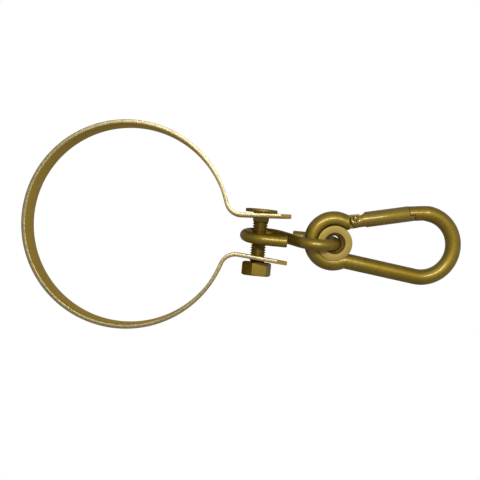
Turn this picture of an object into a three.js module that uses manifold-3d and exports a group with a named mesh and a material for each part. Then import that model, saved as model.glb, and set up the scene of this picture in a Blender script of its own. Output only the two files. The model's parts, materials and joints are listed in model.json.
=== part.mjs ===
// A ring clamp for a round beam, with an S-hook on its bolt and a spring snap hook on the S-hook.
// Millimetres, +Z up. The origin is the centre of the ring and the beam lies along Y.
// The two ears of the ring point down, the clamp bolt crosses them along X, and the hooks hang
// from the bolt along -Z.
import * as THREE from "three";
import { mergeVertices } from "three/addons/utils/BufferGeometryUtils.js";
import Module from "manifold-3d";

const DEGREE = Math.PI / 180;
const GAP = 0.3;

// Clamp band: one flat strip, bent to a ring with two ears
const STRIP_WIDTH = 25;
const STRIP_THICKNESS = 2;
const RING_RADIUS = 51.6;
const EAR_BEND_RADIUS = 8;
const HEAD_EAR_OFFSET = 10.8;
const HEAD_EAR_SPLAY = 3.4 * DEGREE;
const NUT_EAR_OFFSET = 10.98;
const NUT_EAR_SPLAY = 5 * DEGREE;
const EAR_END_Z = -82.6;
const EAR_CORNER_CUT = 5.4;
const EAR_HOLE = 9;

// Carriage bolt M8 x 30 and its nut
const BOLT_Z = -67.5;
const THREAD_DIAMETER = 7.8;
const HEAD_DIAMETER = 16.4;
const HEAD_HEIGHT = 1.8;
const HEAD_EDGE_ROUND = 0.5;
const HEAD_UNDERSIDE_X = 12.5;
const NECK_WIDTH = 8.1;
const NECK_LENGTH = 5;
const BOLT_LENGTH = 29.9;
const BOLT_TIP_CHAMFER = 0.9;
const NUT_ACROSS_FLATS = 13.4;
const NUT_HEIGHT = 7.2;
const NUT_INNER_X = -12.9;
const NUT_BORE = 8.4;
const NUT_TURN = 12.5 * DEGREE;

// S-hook: two equal loops of round bar
const S_WIRE = 5.8;
const S_LOOP_RADIUS = 10.2;
const S_LOOP_PITCH = 25.45;
const S_LEG_LENGTH = 11;
const S_TURN = 9.4 * DEGREE;
const S_X = 0.35;

// Snap hook: round bar bent to an eye, a spine, a big bend and a nose
const WIRE = 8.1;
const EYE_RADIUS = 11.25;
const BIG_RADIUS = 16.6;
const EYE_TO_BIG = 46.6;
const LEG_ANGLE = 9.8 * DEGREE;
const NOSE_ANGLE = 5 * DEGREE;
const NECK_RADIUS = 5;
const NOSE_LENGTH = 8;
const SNAP_TURN = 5 * DEGREE;
const SNAP_PITCH = 7 * DEGREE;
const SNAP_TILT = 2 * DEGREE;
const SNAP_X = 1.4;
const EYE_Z = -105.5;

// Eyelet: a grooved ring, loose in the eye of the snap hook and resting off its centre
const EYELET_WIDTH = 8.9;
const EYELET_RADIUS = 9.1;
const EYELET_BORE_RADIUS = 3.82;
const EYELET_BORE_EDGE = 0.2;
const EYELET_SINK_RADIUS = 5.45;
const EYELET_SINK_DEPTH = 2;
const EYELET_RIM_CHAMFER = 0.2;
const EYELET_SHIFT = 0.9;
const EYELET_GAP = 0.2;

// Gate: measured from its pivot, "along" towards the nose and "across" away from the hook
const PIVOT_ACROSS = 12.16;
const PIVOT_DOWN = 10.29;
const GATE_ANGLE = 10.4 * DEGREE;
const GATE_OPENING = 20 * DEGREE;
const GATE_DIAMETER = 8;
const GATE_ACROSS = -1.4;
const GATE_END = 28.2;
const GATE_LIP_END = 30.9;
const GATE_LIP_TOP = -2.25;
const CHEEK_DIAMETER = 7.5;
const CHEEK_ACROSS = -1.7;
const CHEEK_START = -2.7;
const CHEEK_END = 3.4;
const SLOT_WIDTH = 4.5;
const SLOT_END = 5.6;
const SPRING_BORE = 4.3;
const SPRING_BORE_END = 23;
const RIVET_DIAMETER = 2.3;
const RIVET_LENGTH = 7.4;
const RIVET_HOLE = 2.9;

// Tongue of the hook bar, between the cheeks of the gate
const TONGUE_THICKNESS = 3.9;
const TONGUE_ROOT = -3.6;
const TONGUE_END = 4.2;
const TONGUE_OUTER = 1.9;
const TONGUE_INNER = -4.9;

// Spring and plunger inside the gate
const SPRING_OUTER = 3.8;
const SPRING_INNER = 2.7;
const PLUNGER_HEAD_START = 4.5;
const PLUNGER_HEAD_LENGTH = 3.4;
const PLUNGER_STEM = 2.1;
const PLUNGER_STEM_LENGTH = 5;

const wasm = await Module();
wasm.setup();

// ---- helpers ----

function solid(geometry) {
  const bare = geometry.index ? geometry.toNonIndexed() : geometry.clone();
  bare.deleteAttribute("normal");
  bare.deleteAttribute("uv");
  const merged = mergeVertices(bare, 1e-4);
  const mesh = new wasm.Mesh({
    numProp: 3,
    vertProperties: merged.attributes.position.array,
    triVerts: new Uint32Array(merged.index.array),
  });
  return new wasm.Manifold(mesh);
}

function geometry(body) {
  const mesh = body.getMesh();
  const made = new THREE.BufferGeometry();
  made.setAttribute("position", new THREE.BufferAttribute(mesh.vertProperties, 3));
  made.setIndex(new THREE.BufferAttribute(mesh.triVerts, 1));
  const faceted = made.toNonIndexed();
  faceted.computeVertexNormals();
  return faceted;
}

function zincPlated(color, roughness) {
  return new THREE.MeshStandardMaterial({ color, roughness, metalness: 1 });
}

function part(name, shape, material) {
  const mesh = new THREE.Mesh(shape, material);
  mesh.name = name;
  return mesh;
}

function arcPoints(centre, radius, from, to, steps) {
  const points = [];
  for (let i = 0; i <= steps; i++) {
    const angle = from + ((to - from) * i) / steps;
    const x = centre.x + radius * Math.cos(angle);
    const y = centre.y + radius * Math.sin(angle);
    points.push(new THREE.Vector2(x, y));
  }
  return points;
}

// A flat plate: its outline is drawn in XZ, and it is centred on Y.
function plate(points, thickness) {
  const shape = new THREE.Shape(points);
  const made = new THREE.ExtrudeGeometry(shape, { depth: thickness, bevelEnabled: false });
  return made.translate(0, 0, -thickness / 2).rotateX(Math.PI / 2);
}

function rectangle(x0, x1, y0, y1) {
  return [
    new THREE.Vector2(x0, y0),
    new THREE.Vector2(x1, y0),
    new THREE.Vector2(x1, y1),
    new THREE.Vector2(x0, y1),
  ];
}

// A turned body about Y, from a profile of radius and height that runs upwards on its outside.
function turned(profile, sides) {
  const points = profile.map(([radius, height]) => new THREE.Vector2(radius, height));
  return new THREE.LatheGeometry(points, sides);
}

// An arc in the local XZ plane, for the route of a bent bar
class FlatArc extends THREE.Curve {
  constructor(centre, radius, from, to) {
    super();
    Object.assign(this, { centre, radius, from, to });
  }

  getPoint(t, target = new THREE.Vector3()) {
    const angle = this.from + (this.to - this.from) * t;
    const x = this.centre.x + this.radius * Math.cos(angle);
    const z = this.centre.y + this.radius * Math.sin(angle);
    return target.set(x, 0, z);
  }
}

function flatLine(from, to) {
  return new THREE.LineCurve3(new THREE.Vector3(from.x, 0, from.y), new THREE.Vector3(to.x, 0, to.y));
}

function bentBar(pieces, diameter, sides, steps) {
  const route = new THREE.CurvePath();
  pieces.forEach((piece) => route.add(piece));
  const section = new THREE.Shape(arcPoints(new THREE.Vector2(), diameter / 2, 0, 2 * Math.PI, sides).slice(1));
  return new THREE.ExtrudeGeometry(section, { steps, extrudePath: route, bevelEnabled: false });
}

const direction = (angle) => new THREE.Vector2(Math.cos(angle), Math.sin(angle));
const along = (start, heading, distance) => start.clone().addScaledVector(heading, distance);
const mirrored = (point) => new THREE.Vector2(-point.x, point.y);

// ---- clamp band ----

// The layout of one ear at +X, in XZ: its bend and its tip
function earLayout(offset, splay) {
  const outboard = direction(splay);
  const down = new THREE.Vector2(outboard.y, -outboard.x);
  const distance = offset * outboard.x + BOLT_Z * outboard.y;
  const bendDistance = distance + EAR_BEND_RADIUS;
  const bendDrop = Math.sqrt((RING_RADIUS + EAR_BEND_RADIUS) ** 2 - bendDistance ** 2);
  const bend = outboard.clone().multiplyScalar(bendDistance).addScaledVector(down, bendDrop);
  const ringStart = bend.angle() - 2 * Math.PI;
  const length = (distance * outboard.y - EAR_END_Z) / outboard.x;
  const tip = (side) => outboard.clone().multiplyScalar(distance + side).addScaledVector(down, length);
  return { splay, bend, ringStart, tip };
}

function clampBand() {
  const half = STRIP_THICKNESS / 2;
  const inside = EAR_BEND_RADIUS - half;
  const outside = EAR_BEND_RADIUS + half;
  const head = earLayout(HEAD_EAR_OFFSET, HEAD_EAR_SPLAY);
  const nut = earLayout(NUT_EAR_OFFSET, NUT_EAR_SPLAY);
  const nutBend = mirrored(nut.bend);
  const ringEnd = Math.PI - nut.ringStart;
  const ringSteps = 66;
  const bendSteps = 8;
  const centre = new THREE.Vector2();

  const outline = [
    head.tip(half),
    ...arcPoints(head.bend, inside, Math.PI + head.splay, Math.PI + head.ringStart, bendSteps),
    ...arcPoints(centre, RING_RADIUS + half, head.ringStart, ringEnd, ringSteps).slice(1),
    ...arcPoints(nutBend, inside, -nut.ringStart, -nut.splay, bendSteps).slice(1),
    mirrored(nut.tip(half)),
    mirrored(nut.tip(-half)),
    ...arcPoints(nutBend, outside, -nut.splay, -nut.ringStart, bendSteps),
    ...arcPoints(centre, RING_RADIUS - half, ringEnd, head.ringStart, ringSteps).slice(1),
    ...arcPoints(head.bend, outside, Math.PI + head.ringStart, Math.PI + head.splay, bendSteps).slice(1),
    head.tip(-half),
  ];
  let band = solid(plate(outline, STRIP_WIDTH));

  const reach = 2 * HEAD_EAR_OFFSET;
  const square = new THREE.BoxGeometry(reach, EAR_HOLE, EAR_HOLE).translate(reach / 2, 0, BOLT_Z);
  const round = new THREE.CylinderGeometry(EAR_HOLE / 2, EAR_HOLE / 2, reach, 32).rotateZ(Math.PI / 2);
  round.translate(-reach / 2, 0, BOLT_Z);
  band = band.subtract(solid(square)).subtract(solid(round));

  for (const side of [-1, 1]) {
    const cutter = new THREE.BoxGeometry(4 * HEAD_EAR_OFFSET, 2 * EAR_CORNER_CUT, 4 * EAR_CORNER_CUT);
    cutter.translate(0, side * EAR_CORNER_CUT, 0).rotateX(side * -45 * DEGREE);
    const shift = EAR_CORNER_CUT / 2;
    cutter.translate(0, side * (STRIP_WIDTH / 2 - shift), EAR_END_Z + shift);
    band = band.subtract(solid(cutter));
  }
  return geometry(band);
}

// ---- carriage bolt and nut, both made about X and placed at the bolt height ----

function carriageBolt() {
  const headRadius = HEAD_DIAMETER / 2;
  const top = HEAD_UNDERSIDE_X + HEAD_HEIGHT;
  const head = turned([
    [0, HEAD_UNDERSIDE_X],
    [headRadius - HEAD_EDGE_ROUND / 2, HEAD_UNDERSIDE_X],
    [headRadius, HEAD_UNDERSIDE_X + HEAD_EDGE_ROUND / 2],
    [headRadius, top - HEAD_EDGE_ROUND],
    [headRadius - HEAD_EDGE_ROUND, top],
    [0, top],
  ], 40).rotateZ(-Math.PI / 2);
  const neck = new THREE.BoxGeometry(NECK_LENGTH + HEAD_HEIGHT / 2, NECK_WIDTH, NECK_WIDTH);
  neck.translate(HEAD_UNDERSIDE_X + HEAD_HEIGHT / 2 - (NECK_LENGTH + HEAD_HEIGHT / 2) / 2, 0, 0);
  const tipX = HEAD_UNDERSIDE_X - BOLT_LENGTH;
  const shank = turned([
    [0, tipX],
    [THREAD_DIAMETER / 2 - BOLT_TIP_CHAMFER, tipX],
    [THREAD_DIAMETER / 2, tipX + BOLT_TIP_CHAMFER],
    [THREAD_DIAMETER / 2, HEAD_UNDERSIDE_X],
    [0, HEAD_UNDERSIDE_X],
  ], 32).rotateZ(-Math.PI / 2);
  return geometry(solid(head).add(solid(neck)).add(solid(shank)));
}

function hexNut() {
  const inner = NUT_INNER_X;
  const outer = NUT_INNER_X - NUT_HEIGHT;
  const cornerRadius = NUT_ACROSS_FLATS / 2 / Math.cos(30 * DEGREE);
  const faceRadius = NUT_ACROSS_FLATS / 2 - 0.2;
  const chamfer = (cornerRadius - faceRadius) * Math.tan(30 * DEGREE);
  const prism = new THREE.CylinderGeometry(cornerRadius, cornerRadius, NUT_HEIGHT, 6);
  prism.rotateZ(Math.PI / 2).rotateX(-NUT_TURN - 90 * DEGREE).translate((inner + outer) / 2, 0, 0);
  const chamfered = turned([
    [0, outer],
    [faceRadius, outer],
    [cornerRadius, outer + chamfer],
    [cornerRadius, inner - chamfer],
    [faceRadius, inner],
    [0, inner],
  ], 36).rotateZ(-Math.PI / 2);
  const bore = new THREE.CylinderGeometry(NUT_BORE / 2, NUT_BORE / 2, 2 * NUT_HEIGHT, 32);
  bore.rotateZ(Math.PI / 2).translate((inner + outer) / 2, 0, 0);
  return geometry(solid(prism).intersect(solid(chamfered)).subtract(solid(bore)));
}

// ---- S-hook, drawn in its own XZ plane about the middle of the S ----

function sHook() {
  const upper = new THREE.Vector2(0, S_LOOP_PITCH / 2);
  const lower = new THREE.Vector2(0, -S_LOOP_PITCH / 2);
  const crossing = Math.asin((2 * S_LOOP_RADIUS) / S_LOOP_PITCH);
  const upperTangent = along(upper, direction(-crossing), S_LOOP_RADIUS);
  const lowerTangent = along(lower, direction(Math.PI - crossing), S_LOOP_RADIUS);
  const legDrop = new THREE.Vector2(0, -S_LEG_LENGTH);
  const upperLegTop = new THREE.Vector2(-S_LOOP_RADIUS, upper.y);
  const lowerLegBottom = new THREE.Vector2(S_LOOP_RADIUS, lower.y);
  return bentBar([
    flatLine(along(upperLegTop, legDrop, 1), upperLegTop),
    new FlatArc(upper, S_LOOP_RADIUS, Math.PI, -crossing),
    flatLine(upperTangent, lowerTangent),
    new FlatArc(lower, S_LOOP_RADIUS, Math.PI - crossing, 2 * Math.PI),
    flatLine(lowerLegBottom, along(lowerLegBottom, legDrop, -1)),
  ], S_WIRE, 14, 72);
}

// ---- snap hook, drawn in its own XZ plane about the centre of its eye ----

// The place of the gate's pivot, and its tilt, in the snap hook
function gateGroup() {
  const group = new THREE.Group();
  group.position.set(PIVOT_ACROSS, 0, -PIVOT_DOWN);
  group.rotation.y = -GATE_ANGLE;
  group.updateMatrix();
  return group;
}

// A plate in the gate's own measures: across on X, along on -Z
function gatePlate(points, thickness) {
  return plate(points.map(([away, down]) => new THREE.Vector2(away, -down)), thickness);
}

function gateBox(across0, across1, along0, along1, thickness) {
  return plate(rectangle(across0, across1, -along1, -along0), thickness);
}

function gateRod(radius, across, along0, along1, sides) {
  const rod = new THREE.CylinderGeometry(radius, radius, along1 - along0, sides).rotateX(Math.PI / 2);
  return rod.translate(across, 0, -(along0 + along1) / 2);
}

function rivetRod(diameter, length) {
  return new THREE.CylinderGeometry(diameter / 2, diameter / 2, length, 20);
}

function hookBody() {
  const eye = new THREE.Vector2();
  const big = new THREE.Vector2(0, -EYE_TO_BIG);
  const legDistance = BIG_RADIUS - EYE_TO_BIG * Math.sin(LEG_ANGLE);
  const spineSide = direction(Math.PI - LEG_ANGLE);
  const spineDown = new THREE.Vector2(-spineSide.y, spineSide.x);
  const neckDrop = Math.sqrt((EYE_RADIUS + NECK_RADIUS) ** 2 - (legDistance + NECK_RADIUS) ** 2);
  const neck = spineSide.clone().multiplyScalar(legDistance + NECK_RADIUS).addScaledVector(spineDown, neckDrop);
  const neckAngle = neck.angle();
  const spineStart = along(neck, spineSide, -NECK_RADIUS);
  const spineEnd = along(big, spineSide, BIG_RADIUS);
  const noseStart = along(big, direction(NOSE_ANGLE), BIG_RADIUS);
  const noseHeading = direction(NOSE_ANGLE + Math.PI / 2);

  const bar = bentBar([
    new FlatArc(mirrored(neck), NECK_RADIUS, Math.PI + LEG_ANGLE, 2 * Math.PI - neckAngle),
    new FlatArc(eye, EYE_RADIUS, Math.PI - neckAngle, neckAngle),
    new FlatArc(neck, NECK_RADIUS, neckAngle - Math.PI, -LEG_ANGLE),
    flatLine(spineStart, spineEnd),
    new FlatArc(big, BIG_RADIUS, Math.PI - LEG_ANGLE, 2 * Math.PI + NOSE_ANGLE),
    flatLine(noseStart, along(noseStart, noseHeading, NOSE_LENGTH)),
  ], WIRE, 16, 96);

  const toHook = gateGroup().matrix;
  const place = (shape) => solid(shape.applyMatrix4(toHook));
  const tongue = gatePlate([
    [TONGUE_OUTER, TONGUE_ROOT],
    [TONGUE_INNER, TONGUE_ROOT],
    [TONGUE_INNER, 0.5],
    [-4.2, 2.6],
    [-1.8, TONGUE_END],
    [0.8, TONGUE_END],
    [2, 2.5],
    [TONGUE_OUTER, -1],
  ], TONGUE_THICKNESS);
  const nose = gateBox(-WIRE, WIRE, GATE_END - WIRE, GATE_END + GAP, 2 * WIRE);
  const noseUnder = gateBox(-WIRE, GATE_LIP_TOP + GAP, GATE_END, GATE_LIP_END + GAP, 2 * WIRE);
  return geometry(
    solid(bar)
      .subtract(place(nose))
      .subtract(place(noseUnder))
      .add(place(tongue))
      .subtract(place(rivetRod(RIVET_HOLE, 2 * WIRE)))
  );
}

function eyelet() {
  const half = EYELET_WIDTH / 2;
  const grooveRadius = WIRE / 2 + EYELET_GAP;
  const grooveCentre = new THREE.Vector2(EYE_RADIUS - EYELET_SHIFT, 0);
  const grooveAngle = Math.acos((grooveCentre.x - EYELET_RADIUS) / grooveRadius);
  const groove = arcPoints(grooveCentre, grooveRadius, Math.PI - grooveAngle, Math.PI + grooveAngle, 8);
  const rim = EYELET_RADIUS - EYELET_RIM_CHAMFER;
  const throatBack = new THREE.Vector2(EYELET_BORE_RADIUS, half - EYELET_BORE_EDGE);
  const profile = [
    throatBack,
    new THREE.Vector2(EYELET_BORE_RADIUS + EYELET_BORE_EDGE, half),
    new THREE.Vector2(rim, half),
    new THREE.Vector2(EYELET_RADIUS, half - EYELET_RIM_CHAMFER),
    ...groove,
    new THREE.Vector2(EYELET_RADIUS, EYELET_RIM_CHAMFER - half),
    new THREE.Vector2(rim, -half),
    new THREE.Vector2(EYELET_SINK_RADIUS + EYELET_BORE_EDGE, -half),
    new THREE.Vector2(EYELET_SINK_RADIUS, EYELET_BORE_EDGE - half),
    new THREE.Vector2(EYELET_BORE_RADIUS, EYELET_BORE_EDGE + EYELET_SINK_DEPTH - half),
    throatBack.clone(),
  ];
  return new THREE.LatheGeometry(profile.reverse(), 48);
}

function gate() {
  const thick = 2 * GATE_DIAMETER;
  const tube = gateRod(GATE_DIAMETER / 2, GATE_ACROSS, CHEEK_END, GATE_LIP_END, 24);
  const cheeks = gateRod(CHEEK_DIAMETER / 2, CHEEK_ACROSS, CHEEK_START, CHEEK_END + GAP, 24);
  const slot = gateBox(-GATE_DIAMETER, GATE_DIAMETER, 2 * CHEEK_START, SLOT_END, SLOT_WIDTH);
  const springBore = gateRod(SPRING_BORE / 2, GATE_ACROSS, 0, SPRING_BORE_END, 16);
  const lap = gateBox(GATE_LIP_TOP, GATE_DIAMETER, GATE_END, 2 * GATE_LIP_END, thick);
  // The inner corner of the cheeks is cut so that the gate can swing inwards past its shoulder.
  const reliefAngle = GATE_OPENING + DEGREE;
  const relief = gateBox(-4 * GATE_DIAMETER, GATE_DIAMETER, -thick, CHEEK_START - GAP / 3, thick);
  relief.rotateY(-reliefAngle);
  const hole = rivetRod(RIVET_HOLE, thick);
  return geometry(
    solid(tube)
      .add(solid(cheeks))
      .subtract(solid(slot))
      .subtract(solid(springBore))
      .subtract(solid(lap))
      .subtract(solid(relief))
      .subtract(solid(hole))
  );
}

function gateSpring() {
  const start = PLUNGER_HEAD_START + PLUNGER_HEAD_LENGTH + GAP;
  const end = SPRING_BORE_END - GAP;
  const outside = gateRod(SPRING_OUTER / 2, GATE_ACROSS, start, end, 16);
  const inside = gateRod(SPRING_INNER / 2, GATE_ACROSS, start - GAP, end + GAP, 16);
  return geometry(solid(outside).subtract(solid(inside)));
}

function springPlunger() {
  const headEnd = PLUNGER_HEAD_START + PLUNGER_HEAD_LENGTH;
  const head = gateRod(SPRING_OUTER / 2, GATE_ACROSS, PLUNGER_HEAD_START, headEnd, 16);
  const stem = gateRod(PLUNGER_STEM / 2, GATE_ACROSS, headEnd - GAP, headEnd + PLUNGER_STEM_LENGTH, 16);
  return geometry(solid(head).add(solid(stem)));
}

// ---- assembly ----

const plated = zincPlated(0x7d6a2c, 0.35);
const platedDull = zincPlated(0x8f7d40, 0.5);
const springSteel = zincPlated(0x8a8a86, 0.4);

const clamp = new THREE.Group();
clamp.add(part("clamp_band", clampBand(), platedDull));

const boltLine = new THREE.Group();
boltLine.position.z = BOLT_Z;
boltLine.add(part("carriage_bolt", carriageBolt(), plated));
boltLine.add(part("hex_nut", hexNut(), plated));

// The S-hook hangs on the top of the bolt shank, turned a little about the vertical.
const upperLoopZ = BOLT_Z + THREAD_DIAMETER / 2 + GAP - (S_LOOP_RADIUS - S_WIRE / 2);
const doubleHook = part("s_hook", sHook(), plated);
doubleHook.rotation.z = Math.PI / 2 - S_TURN;
doubleHook.position.set(S_X, 0, upperLoopZ - S_LOOP_PITCH / 2);

// The snap hook stands a little turned, pitched and tilted on the wire of the S-hook.
const snap = new THREE.Group();
snap.position.set(SNAP_X, 0, EYE_Z);
snap.rotation.set(SNAP_PITCH, -SNAP_TILT, -SNAP_TURN, "ZXY");
snap.add(part("hook_body", hookBody(), plated));
const looseRing = part("eyelet", eyelet(), platedDull);
looseRing.position.x = -EYELET_SHIFT;
snap.add(looseRing);

const gateLine = gateGroup();
gateLine.add(part("gate", gate(), plated));
gateLine.add(part("gate_rivet", rivetRod(RIVET_DIAMETER, RIVET_LENGTH), platedDull));
gateLine.add(part("gate_spring", gateSpring(), springSteel));
gateLine.add(part("spring_plunger", springPlunger(), springSteel));
snap.add(gateLine);

const root = new THREE.Group();
root.add(clamp, boltLine, doubleHook, snap);

export default root;
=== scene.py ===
import json
import math

import bmesh
import bpy
from mathutils import Matrix, Vector


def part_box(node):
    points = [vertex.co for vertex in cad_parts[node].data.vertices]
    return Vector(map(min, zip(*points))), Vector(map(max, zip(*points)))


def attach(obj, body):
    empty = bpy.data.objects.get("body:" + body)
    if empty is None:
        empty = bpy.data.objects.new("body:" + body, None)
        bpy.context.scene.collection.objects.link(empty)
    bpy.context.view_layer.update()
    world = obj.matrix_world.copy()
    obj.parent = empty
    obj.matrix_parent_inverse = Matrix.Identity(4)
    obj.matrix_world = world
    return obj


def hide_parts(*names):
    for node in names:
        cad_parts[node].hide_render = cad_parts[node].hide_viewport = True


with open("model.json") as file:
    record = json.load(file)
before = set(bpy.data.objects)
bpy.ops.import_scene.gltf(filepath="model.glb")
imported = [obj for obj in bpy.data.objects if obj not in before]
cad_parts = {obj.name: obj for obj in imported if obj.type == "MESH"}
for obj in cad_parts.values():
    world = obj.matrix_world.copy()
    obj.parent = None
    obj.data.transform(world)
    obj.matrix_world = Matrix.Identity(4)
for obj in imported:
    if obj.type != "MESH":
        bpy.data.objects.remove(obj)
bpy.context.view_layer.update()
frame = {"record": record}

# ---------------------------------------------------------------- sizes, in millimetres
MM = 0.001
STRIP_WIDTH = 25.0
STRIP_THICKNESS = 2.0
STRIP_EDGE_ROUND = 0.3
RING_RADIUS = 51.6
EAR_BEND_RADIUS = 8.0
HEAD_EAR = (10.8, math.radians(3.4))     # offset at the bolt, splay
NUT_EAR = (10.98, math.radians(5.0))
EAR_END_Z = -82.6
EAR_CORNER_CUT = 5.4
EAR_HOLE = 9.0
EAR_HOLE_CORNER = 1.0
EAR_HOLE_SIDES = 48
EAR_CUT_STEPS = 4
EDGE_FACING = 0.75                       # a face turned this far sideways is a cut edge

PITCH = 1.25
THREAD_CREST = 3.95
THREAD_DEPTH = 0.68
THREAD_CLEARANCE = 0.1
THREAD_ROOT_FLAT = 0.16                  # part of half a pitch that is flat at the root
THREAD_FLANK = 0.68                      # part of half a pitch that the flank takes
THREAD_ROWS_PER_PITCH = 12
THREAD_IN_NECK = 0.4
THREAD_RUN_OUT = 1.2
THREAD_RUN_OUT_DEPTH = 0.15
BOLT_TIP_RADIUS = 2.9
BOLT_SIDES = 72
HEAD_RADIUS = 8.2
HEAD_HEIGHT = 1.8
HEAD_UNDERSIDE = 12.5
HEAD_RIM_ROUND = 0.55
HEAD_FOOT_ROUND = 0.3
HEAD_CROWN = 0.12
HEAD_SIDES = 96
HEAD_POLE = 0.05                         # the small flat at the pole of the turned head
NECK_WIDTH = 8.1
NECK_LENGTH = 5.0
NECK_CORNER = 1.3
NECK_LEAD = ((0, 0.5), (0.25, 0.15), (0.6, 0))    # height above the neck's end, inset
NECK_IN_HEAD = 0.6
BOLT_LENGTH = 29.9
NUT_FLATS = 13.4
NUT_HEIGHT = 7.2
NUT_INNER = -12.9
NUT_TURN = math.radians(12.5)
NUT_CHAMFER = math.radians(30)
NUT_CORNER_CUT = 0.12
NUT_FACE_INSET = 0.25
NUT_FACE_ROUND = 0.3
NUT_BORE_CHAMFER = 0.35
NUT_BORE_MOUTH = 5.0
NUT_FACE_DIP = 0.03                      # how far the rim of the flat face lies below it
NUT_CHAMFER_BULGE = 0.02
NUT_EDGE_START, NUT_EDGE_END = 0.06, 0.25         # the rounded edge under the chamfer
NUT_EDGE_INSET = 0.02
NUT_SIDES = 144

S_WIRE = 5.8
S_LOOP_RADIUS = 10.2
S_LOOP_PITCH = 25.45
S_LEG_LENGTH = 11.0
S_END_ROUND = 0.45
S_STEP = 0.4
S_SIDES = 40
S_TURN = math.radians(9.4)

WIRE = 8.1
NOSE_WIRE = 7.6
EYE_RADIUS = 11.25
BIG_RADIUS = 16.6
EYE_TO_BIG = 46.6
LEG_ANGLE = math.radians(9.8)
NOSE_ANGLE = math.radians(5)
NECK_RADIUS = 5.0
NOSE_LENGTH = 8.0
NOSE_TAPER_START = 4.0
NOSE_TAPER_LENGTH = 3.0
BODY_END_ROUND = 0.35
BODY_STEP = 0.5
BODY_SIDES = 48
BODY_EDGE_ROUND = 0.18
SNAP_TILT = math.radians(2)

EYELET_WIDTH = 8.9
EYELET_RADIUS = 9.1
EYELET_BORE = 3.82
EYELET_BORE_EDGE = 0.2
EYELET_SINK = 5.45
EYELET_SINK_DEPTH = 2.0
EYELET_RIM_ROUND = 0.25
EYELET_SHIFT = 0.9
EYELET_GAP = 0.2
EYELET_SIDES = 120

GATE_DIAMETER = 8.0
GATE_ACROSS = -1.4
GATE_END = 28.2
GATE_LIP_END = 30.9
GATE_LIP_TOP = -2.25
GATE_OPENING = math.radians(20)
GATE_SPARE_TURN = math.radians(1)
GATE_RIM = 0.3
GATE_EDGE_ROUND = 0.15
GATE_SIDES = 64
CHEEK_DIAMETER = 7.5
CHEEK_ACROSS = -1.7
CHEEK_START = -2.7
CHEEK_END = 3.4
CHEEK_OVERLAP = 1.5
SLOT_WIDTH = 4.5
SLOT_END = 5.6
SPRING_BORE = 4.3
SPRING_BORE_END = 23.0
HOLE_SIDES = 32
RIVET_RADIUS = 1.15
RIVET_LENGTH = 7.4
RIVET_DOME = 0.22
RIVET_SIDES = 40
RIVET_HOLE_RADIUS = 1.45
TONGUE_THICKNESS = 3.9
TONGUE_OUTLINE = ((1.9, -3.6), (-4.9, -3.6), (-4.9, 0.5), (-4.2, 2.6),
                  (-1.8, 4.2), (0.6, 4.2), (1.7, 2.5), (1.9, -1.0))    # across and along the gate
SPRING_OUTER = 3.8
SPRING_WIRE = 0.55
SPRING_TURNS = 9
SPRING_STEPS_PER_TURN = 32
SPRING_WIRE_SIDES = 10
PLUNGER_START = 4.5
PLUNGER_HEAD = 3.4
PLUNGER_STEM = 5.0
PLUNGER_STEM_RADIUS = 1.0
PLUNGER_RIM = 0.4
PLUNGER_TIP = 0.3
PLUNGER_SIDES = 32
PLUNGER_TRAVEL = 0.7
LAP_GAP = 0.3
POLE = 0.02                              # the small flat at the pole of a turned rod

# ---------------------------------------------------------------- places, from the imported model
joints = {joint["name"]: joint for joint in frame["record"]["behaviour"]["joints"]}


def joint_place(name):
    return Vector(joints[name]["pos_m"]) / MM


def joint_axis(name):
    return Vector(joints[name]["axis"]).normalized()


def placed(origin, x_axis, y_axis, z_axis):
    """The matrix that takes a piece's own millimetres to the frame's metres."""
    turn = Matrix((x_axis, y_axis, z_axis)).transposed().to_4x4()
    return Matrix.Scale(MM, 4) @ Matrix.Translation(origin) @ turn


UP = Vector((0, 0, 1))
BOLT_Z = joint_place("nut_spin").z
clamp_place = Matrix.Scale(MM, 4)
bolt_place = Matrix.Scale(MM, 4) @ Matrix.Translation((0, 0, BOLT_Z))

s_low, s_high = (Vector(corner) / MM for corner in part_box("s_hook"))
s_plane = Vector((math.sin(S_TURN), math.cos(S_TURN), 0))
s_place = placed((s_low + s_high) / 2, s_plane, s_plane.cross(UP) * -1, UP)

hook_y = joint_axis("snap_hook_swing")
flat_x = hook_y.cross(UP).normalized()
snap_x = (flat_x * math.cos(SNAP_TILT) + flat_x.cross(hook_y) * math.sin(SNAP_TILT)).normalized()
eyelet_place = placed(joint_place("eyelet_turn"), snap_x, hook_y, snap_x.cross(hook_y))
snap_place = eyelet_place @ Matrix.Translation((EYELET_SHIFT, 0, 0))

gate_up = -joint_axis("plunger_slide")
gate_x = hook_y.cross(gate_up).normalized()
gate_place = placed(joint_place("gate_open"), gate_x, hook_y, gate_up)


# ---------------------------------------------------------------- mesh helpers
def make(name, verts, faces, matrix):
    mesh = bpy.data.meshes.new(name)
    mesh.from_pydata([matrix @ Vector(v) for v in verts], [], faces)
    mesh.validate()
    piece = bpy.data.objects.new(name, mesh)
    bpy.context.scene.collection.objects.link(piece)
    return piece


def shade(piece, angle=35):
    piece.data.shade_smooth()
    piece.data.set_sharp_from_angle(angle=math.radians(angle))


def rings(name, loops, matrix, closed=False):
    """A skin over a row of loops of equal count, with flat ends or closed on itself."""
    count = len(loops[0])
    verts = [v for loop in loops for v in loop]
    faces = []
    last = len(loops) if closed else len(loops) - 1
    for i in range(last):
        a, b = i * count, ((i + 1) % len(loops)) * count
        for k in range(count):
            n = (k + 1) % count
            faces.append((a + k, a + n, b + n, b + k))
    if not closed:
        faces.append(tuple(reversed(range(count))))
        faces.append(tuple(range(last * count, last * count + count)))
    return make(name, verts, faces, matrix)


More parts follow.
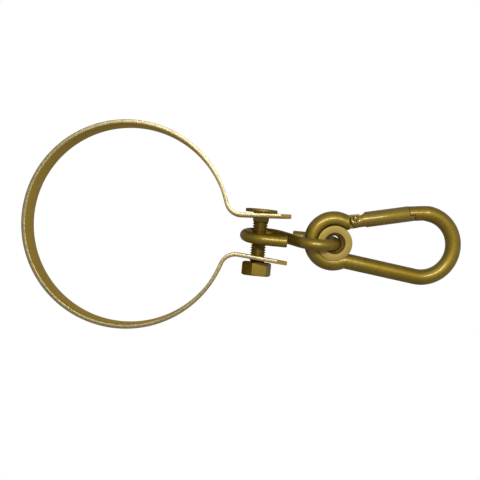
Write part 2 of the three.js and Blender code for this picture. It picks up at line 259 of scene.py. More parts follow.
def outward(piece):
    """Turns a closed mesh's faces outwards."""
    work = bmesh.new()
    work.from_mesh(piece.data)
    bmesh.ops.recalc_face_normals(work, faces=work.faces)
    if work.calc_volume(signed=True) < 0:
        bmesh.ops.reverse_faces(work, faces=work.faces)
    work.to_mesh(piece.data)
    work.free()
    return piece


def apply_modifiers(piece):
    """Gives a piece the mesh that its modifiers make."""
    graph = bpy.context.evaluated_depsgraph_get()
    mesh = bpy.data.meshes.new_from_object(piece.evaluated_get(graph))
    piece.modifiers.clear()
    old = piece.data
    piece.data = mesh
    bpy.data.meshes.remove(old)


def cut(piece, cutter, operation="DIFFERENCE"):
    """Applies a boolean and deletes the cutter."""
    step = piece.modifiers.new("cut", "BOOLEAN")
    step.operation = operation
    step.solver = "EXACT"
    step.object = cutter
    apply_modifiers(piece)
    bpy.data.objects.remove(cutter)


def arc(centre, radius, start, end, steps):
    points = []
    for i in range(steps + 1):
        angle = start + (end - start) * i / steps
        points.append((centre[0] + radius * math.cos(angle), centre[1] + radius * math.sin(angle)))
    return points


def circle(radius, steps):
    return arc((0, 0), radius, 0, 2 * math.pi, steps)[:-1]


def rounded_rectangle(half_width, half_height, corner, steps):
    """An outline with four round corners, about the origin."""
    outline = []
    for sx, sy, start in ((1, 1, 0), (-1, 1, 90), (-1, -1, 180), (1, -1, 270)):
        centre = (sx * (half_width - corner), sy * (half_height - corner))
        outline += arc(centre, corner, math.radians(start), math.radians(start + 90), steps)
    return outline


def turned(name, profile, sides, matrix, closed=False):
    """A turned piece about its own Y axis; the profile is (radius, height)."""
    loops = []
    for i in range(sides):
        angle = 2 * math.pi * i / sides
        loops.append([(r * math.cos(angle), h, r * math.sin(angle)) for r, h in profile])
    count = len(profile)
    verts = [v for loop in loops for v in loop]
    faces = []
    spans = count if closed else count - 1
    for i in range(sides):
        a, b = i * count, ((i + 1) % sides) * count
        for k in range(spans):
            n = (k + 1) % count
            faces.append((a + k, a + n, b + n, b + k))
    if not closed:
        faces.append(tuple(i * count for i in range(sides)))
        faces.append(tuple(i * count + count - 1 for i in reversed(range(sides))))
    return outward(make(name, verts, faces, matrix))


def route_points(spans, step):
    """A flat route of ("arc", centre, radius, start, end) and ("line", start, end), as (point, heading)."""
    points = []
    for span in spans:
        made = []
        if span[0] == "arc":
            _, centre, radius, start, end = span
            steps = max(4, round(abs(end - start) * radius / step))
            sense = math.copysign(1, end - start)
            for i, point in enumerate(arc(centre, radius, start, end, steps)):
                angle = start + (end - start) * i / steps
                made.append((point, (-sense * math.sin(angle), sense * math.cos(angle))))
        else:
            start, end = Vector(span[1]), Vector(span[2])
            steps = max(1, round((end - start).length / step))
            heading = (end - start).normalized()
            for i in range(steps + 1):
                made.append((tuple(start.lerp(end, i / steps)), tuple(heading)))
        points += made if not points else made[1:]
    return points


def bent_bar(name, spans, radius, sides, step, end_round, matrix):
    """A round bar along a flat route in its own XZ plane; radius(s, total) is its radius at length s."""
    route = route_points(spans, step)
    lengths = [0.0]
    for (a, _), (b, _) in zip(route, route[1:]):
        lengths.append(lengths[-1] + math.dist(a, b))
    total = lengths[-1]
    # rounded rims at both cut ends
    rim_steps = 4
    clear_of_rim = end_round * 1.3
    start_rim, end_rim = [], []
    for i in range(rim_steps + 1):
        turn = math.pi / 2 * i / rim_steps
        inset = end_round * (1 - math.sin(turn))
        shift = end_round * (1 - math.cos(turn))
        (p, h), (q, g) = route[0], route[-1]
        start_rim.append(((p[0] + h[0] * shift, p[1] + h[1] * shift), h, radius(0, total) - inset))
        end_rim.append(((q[0] - g[0] * shift, q[1] - g[1] * shift), g, radius(total, total) - inset))
    middle = []
    for (point, heading), s in zip(route, lengths):
        if clear_of_rim < s < total - clear_of_rim:
            middle.append((point, heading, radius(s, total)))
    loops = []
    for point, heading, r in start_rim + middle + list(reversed(end_rim)):
        side = Vector((-heading[1], 0, heading[0]))
        loop = []
        for k in range(sides):
            angle = 2 * math.pi * k / sides
            loop.append(Vector((point[0], 0, point[1])) + side * (r * math.cos(angle))
                        + Vector((0, r * math.sin(angle), 0)))
        loops.append(loop)
    return outward(rings(name, loops, matrix))


def prism(name, outline, y0, y1, matrix):
    """A flat plate: its outline in its own XZ plane, from y0 to y1."""
    loops = [[(x, y, z) for x, z in outline] for y in (y0, y1)]
    return outward(rings(name, loops, matrix))


def gate_outline(points):
    return [(across, -along) for across, along in points]


def gate_block(name, across0, across1, along0, along1, thickness):
    outline = gate_outline([(across0, along0), (across1, along0), (across1, along1), (across0, along1)])
    return prism(name, outline, -thickness / 2, thickness / 2, gate_place)


def soften(piece, width):
    """Rounds the sharp edges of a piece that was cut."""
    step = piece.modifiers.new("edges", "BEVEL")
    step.width = width * MM
    step.segments = 2
    step.limit_method = "ANGLE"
    step.angle_limit = math.radians(40)
    step.use_clamp_overlap = True
    step.harden_normals = False
    apply_modifiers(piece)


# ---------------------------------------------------------------- materials
CLOUD_SCALE = 90.0                       # noise scales are per metre: patches, spots and dents
SPOT_SCALE = 700.0
DENT_SCALE = 240.0
DENT_STRENGTH = 0.12
DENT_DISTANCE = 0.6 * MM
GRAIN_DISTANCE = 0.25 * MM
TINT_LOW, TINT_HIGH = 0.32, 0.68         # noise levels where the tint is fully dark or light
ROUGH_LOW, ROUGH_HIGH = 0.3, 0.7         # noise levels of the smoothest and roughest spots
ROUGH_SPREAD = 0.07


def node(tree, kind, **inputs):
    made = tree.nodes.new(kind)
    for name, value in inputs.items():
        made.inputs[name.replace("_", " ")].default_value = value
    return made


def zinc(name, dark, light, roughness, coat=0.6, coat_roughness=0.12, grain=0.05, grain_scale=2600,
         grazing=(1, 1, 1), seed=0.0, mottling=0.5):
    """Yellow zinc plating: a satin metal under a thin clear film, mottled and finely grained."""
    material = bpy.data.materials.new(name)
    material.use_nodes = True
    tree = material.node_tree
    tree.nodes.clear()
    links = tree.links
    out = tree.nodes.new("ShaderNodeOutputMaterial")
    shader = tree.nodes.new("ShaderNodeBsdfPrincipled")
    shader.inputs["Metallic"].default_value = 1.0
    shader.inputs["Coat Weight"].default_value = coat
    shader.inputs["Coat Roughness"].default_value = coat_roughness
    shader.inputs["Coat IOR"].default_value = 1.5
    shader.inputs["Specular Tint"].default_value = (*grazing, 1)
    links.new(shader.outputs["BSDF"], out.inputs["Surface"])

    place = tree.nodes.new("ShaderNodeTexCoord")
    # each metal takes its noise from another place
    shift = tree.nodes.new("ShaderNodeMapping")
    shift.inputs["Location"].default_value = (seed, seed * 0.7, seed * 1.3)
    links.new(place.outputs["Object"], shift.inputs["Vector"])

    clouds = node(tree, "ShaderNodeTexNoise", Scale=CLOUD_SCALE, Detail=5.0, Roughness=0.55)
    links.new(shift.outputs["Vector"], clouds.inputs["Vector"])
    spots = node(tree, "ShaderNodeTexNoise", Scale=SPOT_SCALE, Detail=4.0, Roughness=0.6)
    links.new(shift.outputs["Vector"], spots.inputs["Vector"])
    blend = tree.nodes.new("ShaderNodeMath")
    blend.operation = "MULTIPLY_ADD"
    blend.inputs[1].default_value = mottling
    links.new(spots.outputs["Fac"], blend.inputs[0])
    half = tree.nodes.new("ShaderNodeMath")
    half.operation = "MULTIPLY"
    half.inputs[1].default_value = 1 - mottling
    links.new(clouds.outputs["Fac"], half.inputs[0])
    links.new(half.outputs[0], blend.inputs[2])
    tint = tree.nodes.new("ShaderNodeValToRGB")
    tint.color_ramp.elements[0].position = TINT_LOW
    tint.color_ramp.elements[0].color = (*dark, 1)
    tint.color_ramp.elements[1].position = TINT_HIGH
    tint.color_ramp.elements[1].color = (*light, 1)
    links.new(blend.outputs[0], tint.inputs["Fac"])
    links.new(tint.outputs["Color"], shader.inputs["Base Color"])

    rough = tree.nodes.new("ShaderNodeMapRange")
    rough.inputs["From Min"].default_value = ROUGH_LOW
    rough.inputs["From Max"].default_value = ROUGH_HIGH
    rough.inputs["To Min"].default_value = roughness - ROUGH_SPREAD
    rough.inputs["To Max"].default_value = roughness + ROUGH_SPREAD
    links.new(spots.outputs["Fac"], rough.inputs["Value"])
    links.new(rough.outputs["Result"], shader.inputs["Roughness"])

    fine = node(tree, "ShaderNodeTexNoise", Scale=grain_scale, Detail=3.0, Roughness=0.6)
    links.new(place.outputs["Object"], fine.inputs["Vector"])
    dents = node(tree, "ShaderNodeTexNoise", Scale=DENT_SCALE, Detail=2.0, Roughness=0.5)
    links.new(shift.outputs["Vector"], dents.inputs["Vector"])
    bump = tree.nodes.new("ShaderNodeBump")
    bump.inputs["Strength"].default_value = grain
    bump.inputs["Distance"].default_value = GRAIN_DISTANCE
    links.new(fine.outputs["Fac"], bump.inputs["Height"])
    waves = tree.nodes.new("ShaderNodeBump")
    waves.inputs["Strength"].default_value = DENT_STRENGTH
    waves.inputs["Distance"].default_value = DENT_DISTANCE
    links.new(dents.outputs["Fac"], waves.inputs["Height"])
    links.new(bump.outputs["Normal"], waves.inputs["Normal"])
    links.new(waves.outputs["Normal"], shader.inputs["Normal"])
    links.new(waves.outputs["Normal"], shader.inputs["Coat Normal"])
    return material


GOLD_DARK = (0.225, 0.15, 0.009)
GOLD_LIGHT = (0.315, 0.22, 0.021)
BOLT_DARK = (0.195, 0.135, 0.016)
BOLT_LIGHT = (0.285, 0.205, 0.034)
STRIP_DARK = (0.62, 0.43, 0.075)
STRIP_LIGHT = (0.74, 0.53, 0.12)
STRIP_GRAZING = (1.0, 0.85, 0.5)         # the strip's tint where it is seen at a low angle
EDGE_DARK = (0.23, 0.18, 0.075)
EDGE_LIGHT = (0.32, 0.26, 0.125)
EYELET_DARK = (0.36, 0.265, 0.055)
EYELET_LIGHT = (0.45, 0.335, 0.095)
STEEL_DARK = (0.3, 0.3, 0.29)
STEEL_LIGHT = (0.45, 0.44, 0.42)
bar_metal = zinc("plated_bar", GOLD_DARK, GOLD_LIGHT, roughness=0.54, coat_roughness=0.15, seed=0.1)
gate_metal = zinc("plated_gate", GOLD_DARK, GOLD_LIGHT, roughness=0.56, coat=1.0, seed=0.3)
wire_metal = zinc("plated_wire", GOLD_DARK, GOLD_LIGHT, roughness=0.52, grain=0.09, seed=0.5)
bolt_metal = zinc("plated_bolt", BOLT_DARK, BOLT_LIGHT, roughness=0.55, coat=0.35, seed=0.7)
strip_metal = zinc("plated_strip", STRIP_DARK, STRIP_LIGHT, roughness=0.42, coat=0.0, grain=0.12,
                   grain_scale=1400, grazing=STRIP_GRAZING, seed=0.9)
edge_metal = zinc("plated_strip_edge", EDGE_DARK, EDGE_LIGHT, roughness=0.34, coat=1.0,
                  coat_roughness=0.22, grain=0.35, grain_scale=1500, seed=1.1)
eyelet_metal = zinc("plated_eyelet", EYELET_DARK, EYELET_LIGHT, roughness=0.6, coat=0.3,
                    coat_roughness=0.35, seed=1.3)
steel = zinc("spring_steel", STEEL_DARK, STEEL_LIGHT, roughness=0.35, coat=0.0, seed=1.5)


def finish(piece, body, nodes, slot, *metals, angle=35):
    """Gives a piece its metals and body, and hides the nodes it replaces; the slot argument is not used."""
    piece.data.materials.clear()
    for metal in metals:
        piece.data.materials.append(metal)
    shade(piece, angle)
    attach(piece, body)
    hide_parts(*nodes)


# ---------------------------------------------------------------- clamp band
def band_route(offset, splay):
    """One side of the strip's middle line, from ear to top of the ring, as (point, outward normal)."""
    outboard = Vector((math.cos(splay), math.sin(splay)))
    down = Vector((outboard.y, -outboard.x))
    distance = offset * outboard.x + BOLT_Z * outboard.y
    bend_distance = distance + EAR_BEND_RADIUS
    drop = math.sqrt((RING_RADIUS + EAR_BEND_RADIUS) ** 2 - bend_distance ** 2)
    bend = outboard * bend_distance + down * drop
    tip_drop = (distance * outboard.y - EAR_END_Z) / outboard.x
    stations = []
    for i in range(EAR_CUT_STEPS + 1):
        s = tip_drop - EAR_CORNER_CUT * i / EAR_CUT_STEPS
        stations.append((outboard * distance + down * s, outboard))
    ear_steps = 10
    for i in range(1, ear_steps):
        s = tip_drop - EAR_CORNER_CUT + (drop - tip_drop + EAR_CORNER_CUT) * i / ear_steps
        stations.append((outboard * distance + down * s, outboard))
    start = math.pi + splay
    end = math.pi + math.atan2(bend.y, bend.x)
    bend_steps = 24
    for i in range(bend_steps + 1):
        angle = start + (end - start) * i / bend_steps
        out = Vector((math.cos(angle), math.sin(angle)))
        stations.append((bend + out * EAR_BEND_RADIUS, -out))
    ring_start = math.atan2(bend.y, bend.x)
    ring_steps = 120
    for i in range(1, ring_steps + 1):
        angle = ring_start + (math.pi / 2 - ring_start) * i / ring_steps
        out = Vector((math.cos(angle), math.sin(angle)))
        stations.append((out * RING_RADIUS, out))
    return stations


def clamp_band():
    nut_side = [(Vector((-p.x, p.y)), Vector((-n.x, n.y))) for p, n in reversed(band_route(*NUT_EAR)[:-1])]
    route = band_route(*HEAD_EAR) + nut_side
    half_width, half_thick = STRIP_WIDTH / 2, STRIP_THICKNESS / 2
    section = rounded_rectangle(half_width, half_thick, STRIP_EDGE_ROUND, 3)
    loops = []
    for i, (point, normal) in enumerate(route):
        from_end = min(i, len(route) - 1 - i)
        inset = EAR_CORNER_CUT * (1 - min(1, from_end / EAR_CUT_STEPS))
        loop = []
        for across, out in section:
            y = across - math.copysign(inset, across)
            loop.append((point.x + normal.x * out, y, point.y + normal.y * out))
        loops.append(loop)
    band = outward(rings("clamp_band_steel", loops, clamp_place))
    reach = 2 * HEAD_EAR[0]
    half = EAR_HOLE / 2
    outline = rounded_rectangle(half, half, EAR_HOLE_CORNER, 4)
    square = [[(x, y, BOLT_Z + z) for y, z in outline] for x in (0, reach)]
    cut(band, outward(rings("square_hole", square, clamp_place)))
    round_hole = [[(x, y, BOLT_Z + z) for y, z in circle(half, EAR_HOLE_SIDES)] for x in (-reach, 0)]
    cut(band, outward(rings("round_hole", round_hole, clamp_place)))
    return band


band = clamp_band()
finish(band, "clamp", ["clamp_band"], "plated_strip", strip_metal, edge_metal, angle=30)
for face in band.data.polygons:
    if abs(face.normal.y) > EDGE_FACING:
        face.material_index = 1


# ---------------------------------------------------------------- bolt and nut
def thread_radius(x, angle):
    """The bolt's radius at a place along the axis and an angle about it: a 60 degree thread."""
    phase = (x / PITCH - angle / (2 * math.pi)) % 1.0
    flank = abs(phase - 0.5) * 2
    lift = min(1.0, max(0.0, (flank - THREAD_ROOT_FLAT) / THREAD_FLANK))
    return THREAD_CREST - THREAD_DEPTH * (1 - lift)


def carriage_bolt():
    tip = HEAD_UNDERSIDE - BOLT_LENGTH
    neck_bottom = HEAD_UNDERSIDE - NECK_LENGTH
    thread_top = neck_bottom + THREAD_IN_NECK
    shank = THREAD_CREST - THREAD_RUN_OUT_DEPTH
    rows = round((thread_top - tip) / PITCH * THREAD_ROWS_PER_PITCH)
    loops = []
    for row in range(rows + 1):
        x = tip + (thread_top - tip) * row / rows
        chamfer = BOLT_TIP_RADIUS + (x - tip)
        run_out = min(1.0, max(0.0, (thread_top - x) / THREAD_RUN_OUT))
        loop = []
        for k in range(BOLT_SIDES):
            angle = 2 * math.pi * k / BOLT_SIDES
            r = thread_radius(x, angle)
            if run_out < 1:
                r = shank - (shank - r) * run_out
            r = min(r, chamfer)
            loop.append((x, r * math.cos(angle), r * math.sin(angle)))
        loops.append(loop)
    bolt = outward(rings("carriage_bolt_steel", loops, bolt_place))

    stations = [(neck_bottom + height, inset) for height, inset in NECK_LEAD]
    loops = []
    for x, inset in stations + [(HEAD_UNDERSIDE + NECK_IN_HEAD, 0)]:
        half = NECK_WIDTH / 2 - inset
        loops.append([(x, y, z) for y, z in rounded_rectangle(half, half, NECK_CORNER, 6)])
    cut(bolt, outward(rings("neck", loops, bolt_place)), "UNION")

    top = HEAD_UNDERSIDE + HEAD_HEIGHT
    foot = HEAD_RADIUS - HEAD_FOOT_ROUND
    rim_centre = (HEAD_RADIUS - HEAD_RIM_ROUND, top - HEAD_RIM_ROUND - HEAD_CROWN)
    profile = [(HEAD_POLE, HEAD_UNDERSIDE), (foot, HEAD_UNDERSIDE)]
    profile += arc((foot, HEAD_UNDERSIDE + HEAD_FOOT_ROUND), HEAD_FOOT_ROUND, -math.pi / 2, 0, 4)[1:]
    profile += arc(rim_centre, HEAD_RIM_ROUND, 0, math.pi / 2, 6)
    profile += [(HEAD_RADIUS * f, top - HEAD_CROWN * f * f) for f in (0.75, 0.5, 0.25)]
    profile += [(HEAD_POLE, top)]
    to_x = Matrix.Rotation(-math.pi / 2, 4, "Z")
    cut(bolt, turned("head", profile, HEAD_SIDES, bolt_place @ to_x), "UNION")
    return bolt


bolt = carriage_bolt()
finish(bolt, "bolt", ["carriage_bolt"], "plated_fastener", bolt_metal, angle=30)


def hex_radius(angle):
    """The distance from the nut's axis to its flank, with slightly rounded corners."""
    turn = (angle + math.pi / 6) % (math.pi / 3) - math.pi / 6
    flat = NUT_FLATS / 2 / math.cos(turn)
    corner = NUT_FLATS / 2 / math.cos(math.pi / 6) - NUT_CORNER_CUT
    return flat - max(0.0, flat - corner) / 2


def hex_nut():
    inner, outer = NUT_INNER, NUT_INNER - NUT_HEIGHT
    face_radius = NUT_FLATS / 2 - NUT_FACE_INSET
    slope = math.tan(NUT_CHAMFER)
    thread_rows = round(NUT_HEIGHT / PITCH * THREAD_ROWS_PER_PITCH)
    loops = []
    for k in range(NUT_SIDES):
        angle = 2 * math.pi * k / NUT_SIDES
        across = hex_radius(angle - NUT_TURN - math.pi)
        drop = max(0.0, across - face_radius) * slope
        profile = []
        for row in range(thread_rows + 1):
            x = outer + NUT_HEIGHT * row / thread_rows
            depth = min(x - outer, inner - x)
            r = max(thread_radius(x, angle) + THREAD_CLEARANCE, THREAD_CREST + NUT_BORE_CHAMFER - depth)
            profile.append((x, r))
        side = [
            (inner, NUT_BORE_MOUTH),
            (inner, face_radius - NUT_FACE_ROUND),
            (inner - NUT_FACE_DIP, face_radius),
            (inner - drop / 2 - NUT_CHAMFER_BULGE, (face_radius + across) / 2),
            (inner - drop - NUT_EDGE_START, across - NUT_EDGE_INSET),
            (inner - drop - NUT_EDGE_END, across),
            ((inner + outer) / 2, across),
        ]
        mirror = [(inner + outer - x, r) for x, r in reversed(side[:-1])]
        profile += side + mirror
        loops.append([(x, r * math.cos(angle), r * math.sin(angle)) for x, r in profile])
    return outward(rings("hex_nut_steel", loops, bolt_place, closed=True))


nut = hex_nut()
finish(nut, "nut", ["hex_nut"], "plated_fastener", bolt_metal, angle=25)


# ---------------------------------------------------------------- S-hook
def s_hook():
    upper, lower = (0, S_LOOP_PITCH / 2), (0, -S_LOOP_PITCH / 2)
    crossing = math.asin(2 * S_LOOP_RADIUS / S_LOOP_PITCH)
    upper_tangent = arc(upper, S_LOOP_RADIUS, -crossing, -crossing, 1)[0]
    lower_tangent = arc(lower, S_LOOP_RADIUS, math.pi - crossing, math.pi - crossing, 1)[0]
    spans = [
        ("line", (-S_LOOP_RADIUS, upper[1] - S_LEG_LENGTH), (-S_LOOP_RADIUS, upper[1])),
        ("arc", upper, S_LOOP_RADIUS, math.pi, -crossing),
        ("line", upper_tangent, lower_tangent),
        ("arc", lower, S_LOOP_RADIUS, math.pi - crossing, 2 * math.pi),
        ("line", (S_LOOP_RADIUS, lower[1]), (S_LOOP_RADIUS, lower[1] + S_LEG_LENGTH)),
    ]
    return bent_bar("s_hook_steel", spans, lambda s, total: S_WIRE / 2,
                    S_SIDES, S_STEP, S_END_ROUND, s_place)


double_hook = s_hook()
finish(double_hook, "double_hook", ["s_hook"], "plated_bar", wire_metal)


# ---------------------------------------------------------------- snap hook
def hook_body():
    eye, big = Vector((0, 0)), Vector((0, -EYE_TO_BIG))
    leg_distance = BIG_RADIUS - EYE_TO_BIG * math.sin(LEG_ANGLE)
    spine_side = Vector((-math.cos(LEG_ANGLE), math.sin(LEG_ANGLE)))
    spine_down = Vector((-spine_side.y, spine_side.x))
    neck_drop = math.sqrt((EYE_RADIUS + NECK_RADIUS) ** 2 - (leg_distance + NECK_RADIUS) ** 2)
    neck = spine_side * (leg_distance + NECK_RADIUS) + spine_down * neck_drop
    neck_angle = math.atan2(neck.y, neck.x) % (2 * math.pi)
    nose_start = big + Vector((math.cos(NOSE_ANGLE), math.sin(NOSE_ANGLE))) * BIG_RADIUS
    nose_heading = Vector((-math.sin(NOSE_ANGLE), math.cos(NOSE_ANGLE)))
    spans = [
        ("arc", (-neck.x, neck.y), NECK_RADIUS, math.pi + LEG_ANGLE, 2 * math.pi - neck_angle),
        ("arc", eye, EYE_RADIUS, math.pi - neck_angle, neck_angle),
        ("arc", neck, NECK_RADIUS, neck_angle - math.pi, -LEG_ANGLE),
        ("line", neck - spine_side * NECK_RADIUS, big + spine_side * BIG_RADIUS),
        ("arc", big, BIG_RADIUS, math.pi - LEG_ANGLE, 2 * math.pi + NOSE_ANGLE),
        ("line", nose_start, nose_start + nose_heading * NOSE_LENGTH),
    ]

    def radius(s, total):
        into_taper = s - (total - NOSE_LENGTH - NOSE_TAPER_START)
        taper = min(1.0, max(0.0, into_taper / NOSE_TAPER_LENGTH))
        return (WIRE + (NOSE_WIRE - WIRE) * taper * taper * (3 - 2 * taper)) / 2

    body = bent_bar("hook_body_steel", spans, radius, BODY_SIDES, BODY_STEP, BODY_END_ROUND, snap_place)
    wide = 2 * WIRE
    lip_end = GATE_LIP_END + LAP_GAP
    cut(body, gate_block("nose_end", -WIRE, WIRE, GATE_END - WIRE, GATE_END + LAP_GAP, wide))
    cut(body, gate_block("nose_lap", -WIRE, GATE_LIP_TOP + LAP_GAP, GATE_END, lip_end, wide))
    half = TONGUE_THICKNESS / 2
    cut(body, prism("tongue", gate_outline(TONGUE_OUTLINE), -half, half, gate_place), "UNION")
    cut(body, prism("rivet_hole", circle(RIVET_HOLE_RADIUS, HOLE_SIDES), -WIRE, WIRE, gate_place))
    return body


body = hook_body()
soften(body, BODY_EDGE_ROUND)
finish(body, "snap_hook", ["hook_body"], "plated_bar", bar_metal)


def eyelet():
    half = EYELET_WIDTH / 2
    groove_radius = WIRE / 2 + EYELET_GAP
    groove_centre = (EYE_RADIUS - EYELET_SHIFT, 0)
    groove_angle = math.acos((groove_centre[0] - EYELET_RADIUS) / groove_radius)
    groove = arc(groove_centre, groove_radius, math.pi - groove_angle, math.pi + groove_angle, 20)
    rim = EYELET_RADIUS - EYELET_RIM_ROUND
    edge = EYELET_BORE_EDGE
    back = arc((EYELET_BORE + edge, half - edge), edge, math.pi, math.pi / 2, 4)
    back += arc((rim, half - EYELET_RIM_ROUND), EYELET_RIM_ROUND, math.pi / 2, 0, 4)
    front = arc((rim, EYELET_RIM_ROUND - half), EYELET_RIM_ROUND, 0, -math.pi / 2, 4)
    front += arc((EYELET_SINK + edge, edge - half), edge, -math.pi / 2, -math.pi, 4)
    throat = [(EYELET_BORE, edge + EYELET_SINK_DEPTH - half)]
    return turned("eyelet_steel", back + groove + front + throat, EYELET_SIDES, eyelet_place, closed=True)


ring = eyelet()
finish(ring, "eyelet_ring", ["eyelet"], "plated_eyelet", eyelet_metal)


# ---------------------------------------------------------------- gate, rivet, spring and plunger
def along_gate(across):
    """The place of a turned piece whose own Y axis runs along the gate."""
    return gate_place @ Matrix.Translation((across, 0, 0)) @ Matrix.Rotation(-math.pi / 2, 4, "X")


def gate_rod(name, radius, across, along0, along1, sides, rim=0.0):
    """A round rod along the gate, with a rounded rim at its ends."""
    profile = [(POLE, along0)]
    if rim:
        profile += arc((radius - rim, along0 + rim), rim, -math.pi / 2, 0, 5)
        profile += arc((radius - rim, along1 - rim), rim, 0, math.pi / 2, 5)
    else:
        profile += [(radius, along0), (radius, along1)]
    profile += [(POLE, along1)]
    return turned(name, profile, sides, along_gate(across))


def gate():
    thick = 2 * GATE_DIAMETER
    radius, cheek_radius = GATE_DIAMETER / 2, CHEEK_DIAMETER / 2
    arm = gate_rod("gate_steel", radius, GATE_ACROSS, CHEEK_END, GATE_LIP_END, GATE_SIDES, GATE_RIM)
    cheek_end = CHEEK_END + CHEEK_OVERLAP
    cheeks = gate_rod("cheeks", cheek_radius, CHEEK_ACROSS, CHEEK_START, cheek_end, GATE_SIDES, GATE_RIM)
    cut(arm, cheeks, "UNION")
    cut(arm, gate_block("slot", -GATE_DIAMETER, GATE_DIAMETER, 2 * CHEEK_START, SLOT_END, SLOT_WIDTH))
    cut(arm, gate_rod("bore", SPRING_BORE / 2, GATE_ACROSS, 0, SPRING_BORE_END, HOLE_SIDES))
    cut(arm, gate_block("lap", GATE_LIP_TOP, GATE_DIAMETER, GATE_END, 2 * GATE_LIP_END, thick))
    # the corner that would run into the eye when the gate swings in
    relief_end = CHEEK_START - LAP_GAP / 3
    relief = gate_outline([
        (-4 * GATE_DIAMETER, -thick),
        (GATE_DIAMETER, -thick),
        (GATE_DIAMETER, relief_end),
        (-4 * GATE_DIAMETER, relief_end),
    ])
    turn = Matrix.Rotation(-GATE_OPENING - GATE_SPARE_TURN, 4, "Y")
    cut(arm, prism("relief", relief, -thick / 2, thick / 2, gate_place @ turn))
    cut(arm, prism("rivet_hole", circle(RIVET_HOLE_RADIUS, HOLE_SIDES), -thick, thick, gate_place))
    return arm


gate_arm = gate()
soften(gate_arm, GATE_EDGE_ROUND)
finish(gate_arm, "gate_arm", ["gate"], "plated_bar", gate_metal)


def gate_rivet():
    half = RIVET_LENGTH / 2
    dome = [(RIVET_RADIUS * f, half - RIVET_DOME * f ** 3) for f in (0.35, 0.65, 0.85, 0.96, 1.0)]
    profile = [(POLE, -half)]
    profile += [(r, -h) for r, h in dome]
    profile += [(r, h) for r, h in reversed(dome)]
    profile += [(POLE, half)]
    return turned("gate_rivet_steel", profile, RIVET_SIDES, gate_place)


rivet = gate_rivet()
finish(rivet, "snap_hook", ["gate_rivet"], "plated_eyelet", gate_metal)


def gate_spring():
    start = PLUNGER_START + PLUNGER_HEAD + PLUNGER_TRAVEL + SPRING_WIRE / 2
    end = SPRING_BORE_END - LAP_GAP - SPRING_WIRE / 2
    coil = (SPRING_OUTER - SPRING_WIRE) / 2
    steps = SPRING_TURNS * SPRING_STEPS_PER_TURN
    loops = []
    for i in range(steps + 1):
        angle = 2 * math.pi * SPRING_TURNS * i / steps
        out = Vector((math.cos(angle), math.sin(angle), 0))
        centre = Vector((GATE_ACROSS, 0, -start - (end - start) * i / steps)) + out * coil
        loop = []
        for k in range(SPRING_WIRE_SIDES):
            turn = 2 * math.pi * k / SPRING_WIRE_SIDES
            loop.append(centre + (out * math.cos(turn) + UP * math.sin(turn)) * SPRING_WIRE / 2)
        loops.append(loop)
    return outward(rings("gate_spring_wire", loops, gate_place))


spring = gate_spring()
finish(spring, "gate_arm", ["gate_spring"], "spring_steel", steel)


def spring_plunger():
    start = PLUNGER_START
    head = start + PLUNGER_HEAD
    tip = head + PLUNGER_STEM
    r, stem = SPRING_OUTER / 2, PLUNGER_STEM_RADIUS
    profile = [(POLE, start)] + arc((r - PLUNGER_RIM, start + PLUNGER_RIM), PLUNGER_RIM, -math.pi / 2, 0, 4)
    profile += [(r, head), (stem, head), (stem, tip - PLUNGER_TIP), (stem - PLUNGER_TIP, tip)]
    profile += [(POLE, tip)]
    return turned("spring_plunger_steel", profile, PLUNGER_SIDES, along_gate(GATE_ACROSS))


plunger = spring_plunger()
finish(plunger, "plunger", ["spring_plunger"], "spring_steel", steel)

# ---------------------------------------------------------------- camera
CAMERA_PLACE = Vector((-2.6, -583, -57.8)) * MM
CAMERA_ROLL = math.radians(5.4)          # off a quarter turn: in the photo the object lies on its side
LENS_LENGTH = 85.275
SENSOR_WIDTH = 36
CLIP_START = 0.01
roll_right = Vector((math.sin(CAMERA_ROLL), 0, -math.cos(CAMERA_ROLL)))
roll_up = Vector((math.cos(CAMERA_ROLL), 0, math.sin(CAMERA_ROLL)))
lens = bpy.data.cameras.new("camera")
lens.lens = LENS_LENGTH
lens.sensor_width = SENSOR_WIDTH
lens.clip_start = CLIP_START
camera = bpy.data.objects.new("camera", lens)
camera.matrix_world = (Matrix.Translation(CAMERA_PLACE)
                       @ Matrix((roll_right, roll_up, Vector((0, -1, 0)))).transposed().to_4x4())
bpy.context.scene.collection.objects.link(camera)
bpy.context.scene.camera = camera
bpy.context.scene.view_settings.view_transform = "Standard"


# ---------------------------------------------------------------- floor and light
def lamp(name, place, target, height, width, power, color):
    data = bpy.data.lights.new(name, "AREA")
    data.shape = "RECTANGLE"
    data.size = height
    data.size_y = width
    data.energy = power
    data.color = color
    obj = bpy.data.objects.new(name, data)
    obj.location = place
    obj.rotation_euler = (Vector(target) - Vector(place)).to_track_quat("-Z", "Y").to_euler()
    bpy.context.scene.collection.objects.link(obj)
    return obj


LIT_POINT = Vector((0, 0, -0.06))        # lamp sizes and places are in metres
KEY_RIGHT, KEY_UP = 0.108, 0.18          # from the camera
KEY_HEIGHT, KEY_WIDTH = 0.05, 0.42
KEY_POWER = 2.4
KEY_COLOR = (1.0, 0.97, 0.93)
key_place = CAMERA_PLACE + roll_right * KEY_RIGHT + roll_up * KEY_UP
lamp("key", key_place, LIT_POINT, KEY_HEIGHT, KEY_WIDTH, KEY_POWER, KEY_COLOR)

FLOOR_RADIUS = 1100.0
FLOOR_TOP = -500.0
FLOOR_THICKNESS = 10.0
FLOOR_COLOR = (0.85, 0.85, 0.84, 1)
FLOOR_ROUGHNESS = 0.9
FLOOR_SIDES = 64


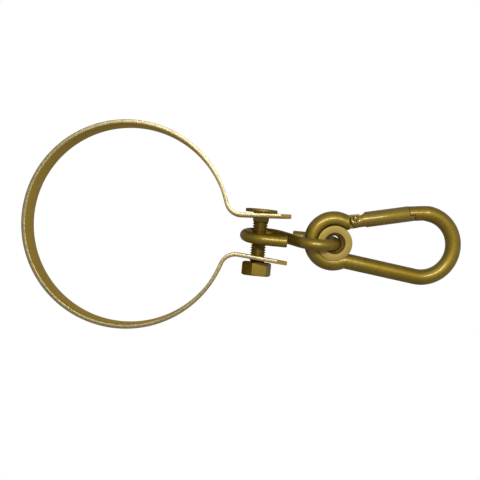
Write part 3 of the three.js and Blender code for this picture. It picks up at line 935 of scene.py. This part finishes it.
def floor():
    heights = (FLOOR_TOP - FLOOR_THICKNESS, FLOOR_TOP)
    loops = [[(x, y, z) for x, y in circle(FLOOR_RADIUS, FLOOR_SIDES)] for z in heights]
    slab = outward(rings("floor", loops, clamp_place))
    material = bpy.data.materials.new("floor_paper")
    material.use_nodes = True
    shader = material.node_tree.nodes["Principled BSDF"]
    shader.inputs["Base Color"].default_value = FLOOR_COLOR
    shader.inputs["Roughness"].default_value = FLOOR_ROUGHNESS
    slab.data.materials.append(material)


floor()


ROOM_BRIGHT_SIDE = Vector((0.55, -0.8, 0.15)).normalized()
ROOM_DIM, ROOM_BRIGHT = 0.22, 0.7


def studio():
    """White to the camera; to the metal, a room that is bright in front and dim behind."""
    world = bpy.data.worlds.new("studio")
    bpy.context.scene.world = world
    world.use_nodes = True
    tree = world.node_tree
    tree.nodes.clear()
    links = tree.links
    out = tree.nodes.new("ShaderNodeOutputWorld")
    mix = tree.nodes.new("ShaderNodeMixShader")
    seen = tree.nodes.new("ShaderNodeBackground")
    seen.inputs["Color"].default_value = (1, 1, 1, 1)
    room = tree.nodes.new("ShaderNodeBackground")
    ray = tree.nodes.new("ShaderNodeLightPath")
    links.new(ray.outputs["Is Camera Ray"], mix.inputs["Fac"])
    links.new(room.outputs[0], mix.inputs[1])
    links.new(seen.outputs[0], mix.inputs[2])
    links.new(mix.outputs[0], out.inputs["Surface"])
    place = tree.nodes.new("ShaderNodeTexCoord")
    toward = tree.nodes.new("ShaderNodeVectorMath")
    toward.operation = "DOT_PRODUCT"
    toward.inputs[1].default_value = ROOM_BRIGHT_SIDE
    links.new(place.outputs["Generated"], toward.inputs[0])
    level = tree.nodes.new("ShaderNodeMapRange")
    level.inputs["From Min"].default_value = -1
    level.inputs["From Max"].default_value = 1
    level.inputs["To Min"].default_value = ROOM_DIM
    level.inputs["To Max"].default_value = ROOM_BRIGHT
    links.new(toward.outputs["Value"], level.inputs["Value"])
    links.new(level.outputs["Result"], room.inputs["Strength"])


studio()
